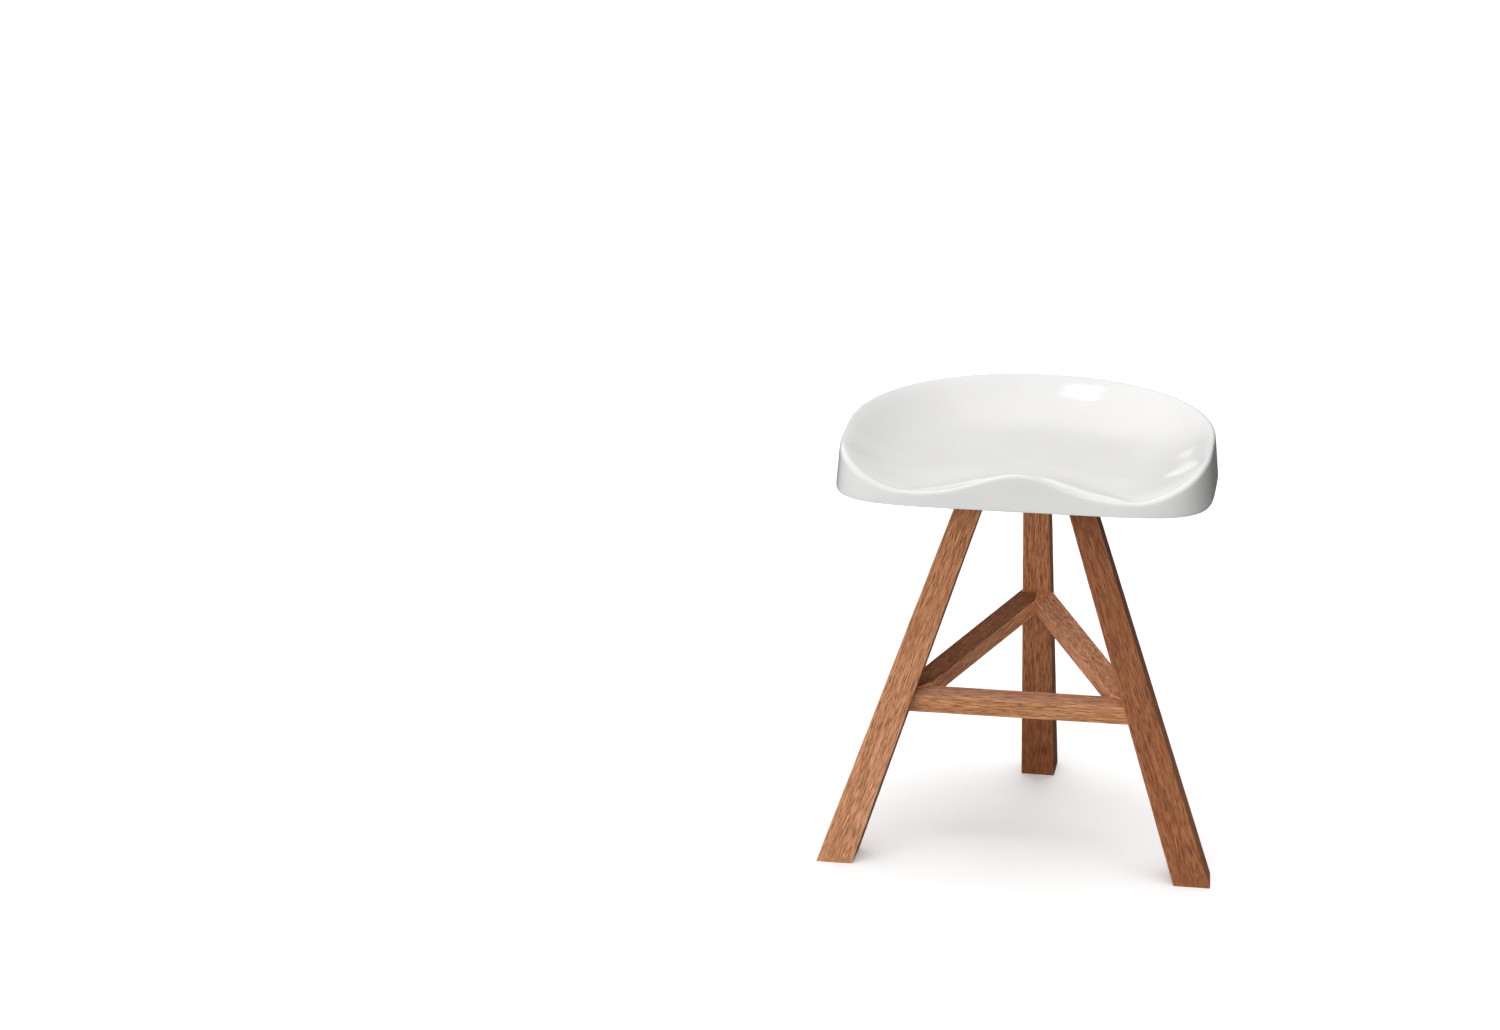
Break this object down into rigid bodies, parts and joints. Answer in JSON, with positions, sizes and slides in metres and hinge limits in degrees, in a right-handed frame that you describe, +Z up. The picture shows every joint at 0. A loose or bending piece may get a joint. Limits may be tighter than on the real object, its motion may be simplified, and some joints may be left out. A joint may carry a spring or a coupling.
{
  "type": "three-legged tractor-seat stool",
  "caption": "Low wooden stool: a glossy white dished seat with a scooped front, on tapered square legs braced by a rising triangle of stretchers.",
  "frame": {"origin": "on the floor, at the centre of the whole stool's footprint", "axes": "+Z up, -Y towards the scooped front edge of the seat, +X across the stool, to the right as seen from the front"},
  "size_m": [0.4266, 0.2919, 0.4724],
  "materials": {
    "seat_gloss": "gloss",
    "stained_wood": "satin",
    "plywood": "satin",
    "dowel_wood": "matte",
    "zinc_steel": "satin",
    "insert_brass": "satin"
  },
  "bodies": {
    "root": {"seat_shell": "seat_gloss", "mounting_disc": "plywood", "leg_front_left": "stained_wood", "leg_front_right": "stained_wood", "leg_back": "stained_wood", "stretcher_front": "stained_wood", "stretcher_left": "stained_wood", "stretcher_right": "stained_wood", "seat_bolts": "zinc_steel", "seat_washers": "zinc_steel", "seat_inserts": "insert_brass", "leg_screws_front_left": "zinc_steel", "leg_screws_front_right": "zinc_steel", "leg_screws_back": "zinc_steel", "dowels_front_left": "dowel_wood", "dowels_front_right": "dowel_wood", "dowel_back": "dowel_wood"}
  },
  "joints": []
}
